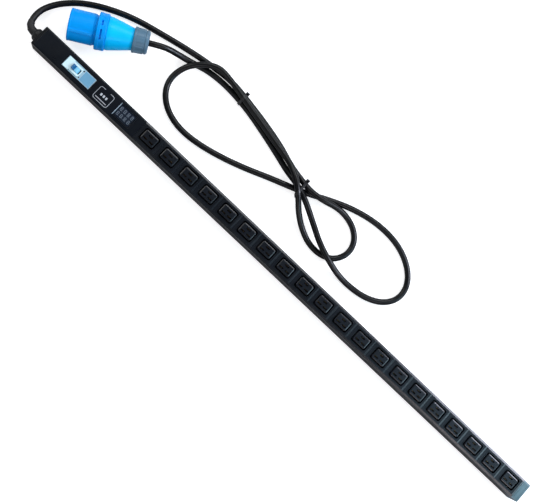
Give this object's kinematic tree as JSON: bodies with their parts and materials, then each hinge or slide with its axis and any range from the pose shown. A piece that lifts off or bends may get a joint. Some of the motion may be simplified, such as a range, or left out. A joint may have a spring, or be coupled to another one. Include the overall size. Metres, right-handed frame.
{
  "type": "rack power strip",
  "caption": "Long rack power strip with a row of rectangular outlets, a breaker, surge protector and meter at one end, and a tied supply cord with an industrial plug.",
  "frame": {"origin": "centre of the strip's back face, on the surface it lies on", "axes": "+X along the strip from the cord end to the far end, +Y towards the side the cord lies on, +Z out of the outlets"},
  "size_m": [1.203, 0.2067, 0.0651],
  "materials": {
    "channel_metal": "black paint, half gloss",
    "cap_plastic": "moulded, fine texture",
    "panel_plastic": "smooth moulded",
    "outlet_plastic": "moulded, fine texture",
    "dark_plastic": "moulded",
    "white_plastic": "smooth moulded",
    "label_card": "printed film",
    "toggle_plastic": "smooth moulded",
    "meter_glass": "dark window",
    "display_plastic": "unlit display",
    "board": "solder mask",
    "varistor_coat": "dipped",
    "brass": "plated strip",
    "steel": "zinc plated",
    "gland_plastic": "moulded",
    "seal_rubber": "moulded",
    "cord_rubber": "smooth sheath",
    "tie_plastic": "moulded",
    "live_sleeve": "wire sleeve",
    "neutral_sleeve": "wire sleeve",
    "earth_sleeve": "wire sleeve",
    "plug_plastic": "moulded",
    "insert_plastic": "moulded",
    "nut_plastic": "moulded",
    "pin_metal": "plated"
  },
  "bodies": {
    "strip": {"channel": "channel_metal", "inlet_end_cap": "cap_plastic", "far_end_cap": "cap_plastic", "end_cap_screws": "steel", "head_panel": "panel_plastic", "breaker_housing": "dark_plastic", "breaker_front": "white_plastic", "breaker_label": "label_card", "breaker_terminals": "brass", "meter_bezel": "panel_plastic", "meter_lens": "meter_glass", "meter_display": "display_plastic", "meter_board": "board", "current_transformer": "dark_plastic", "surge_board": "board", "surge_varistors": "varistor_coat", "live_busbar": "brass", "neutral_busbar": "brass", "earth_busbar": "brass", "busbar_carrier": "dark_plastic", "mounting_nuts": "steel", "gland_body": "gland_plastic", "gland_seal": "seal_rubber", "gland_nut": "gland_plastic", "gland_locknut": "gland_plastic", "supply_cord": "cord_rubber", "cord_inner_end": "cord_rubber", "cord_ties": "tie_plastic", "live_wires": "live_sleeve", "neutral_wires": "neutral_sleeve", "earth_wires": "earth_sleeve", "earth_stud": "brass", "plug_shroud": "plug_plastic", "plug_rear_body": "plug_plastic", "plug_insert": "insert_plastic", "plug_power_pins": "pin_metal", "plug_earth_pin": "pin_metal", "plug_nut": "nut_plastic", "plug_cord_end": "cord_rubber", "outlet_01": "outlet_plastic", "outlet_02": "outlet_plastic", "outlet_03": "outlet_plastic", "outlet_04": "outlet_plastic", "outlet_05": "outlet_plastic", "outlet_06": "outlet_plastic", "outlet_07": "outlet_plastic", "outlet_08": "outlet_plastic", "outlet_09": "outlet_plastic", "outlet_10": "outlet_plastic", "outlet_11": "outlet_plastic", "outlet_12": "outlet_plastic", "outlet_13": "outlet_plastic", "outlet_14": "outlet_plastic", "outlet_15": "outlet_plastic", "outlet_16": "outlet_plastic", "outlet_17": "outlet_plastic", "outlet_18": "outlet_plastic", "outlet_19": "outlet_plastic", "outlet_20": "outlet_plastic"},
    "toggle": {"breaker_toggle": "toggle_plastic"}
  },
  "joints": [
    {"name": "toggle_hinge", "type": "hinge", "parent": "strip", "child": "toggle", "pos_m": [-0.4975, 0, 0.0396], "axis": [0, 1, 0], "range_deg": [0, 80]}
  ]
}
